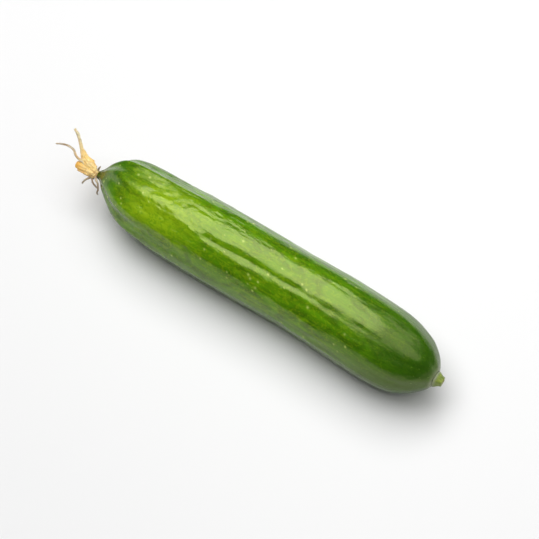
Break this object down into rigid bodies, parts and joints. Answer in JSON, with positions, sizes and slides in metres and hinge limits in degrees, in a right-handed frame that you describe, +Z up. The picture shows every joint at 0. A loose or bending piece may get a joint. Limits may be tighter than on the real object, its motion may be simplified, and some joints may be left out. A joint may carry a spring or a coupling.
{
  "type": "cucumber",
  "caption": "Small smooth-skinned cucumber, whole and uncut, with its dried blossom at one end and a short snapped stalk at the other, lying on its belly.",
  "frame": {"origin": "centre of the underside of the bounding box, on the surface that the cucumber rests on", "axes": "+X along the fruit towards its stalk, +Y towards the side that the fruit bows to, +Z up"},
  "size_m": [0.19, 0.0338, 0.0317],
  "materials": {
    "skin": "glossy waxy green skin with pale streaks and specks",
    "stalk": "yellow-green snapped stalk",
    "dried_cup": "dry straw-brown flower base",
    "dried_petal": "dry papery straw to orange",
    "dried_thread": "dry brown thread"
  },
  "bodies": {
    "root": {"fruit": "skin", "stem_stub": "stalk", "blossom_cup": "dried_cup", "petal_upright": "dried_petal", "petal_rolled": "dried_petal", "petal_lower": "dried_petal", "petal_curled": "dried_thread", "sepal_outer": "dried_thread", "sepal_under": "dried_thread", "sepal_hooked": "dried_thread", "sepal_top": "dried_thread"}
  },
  "joints": []
}
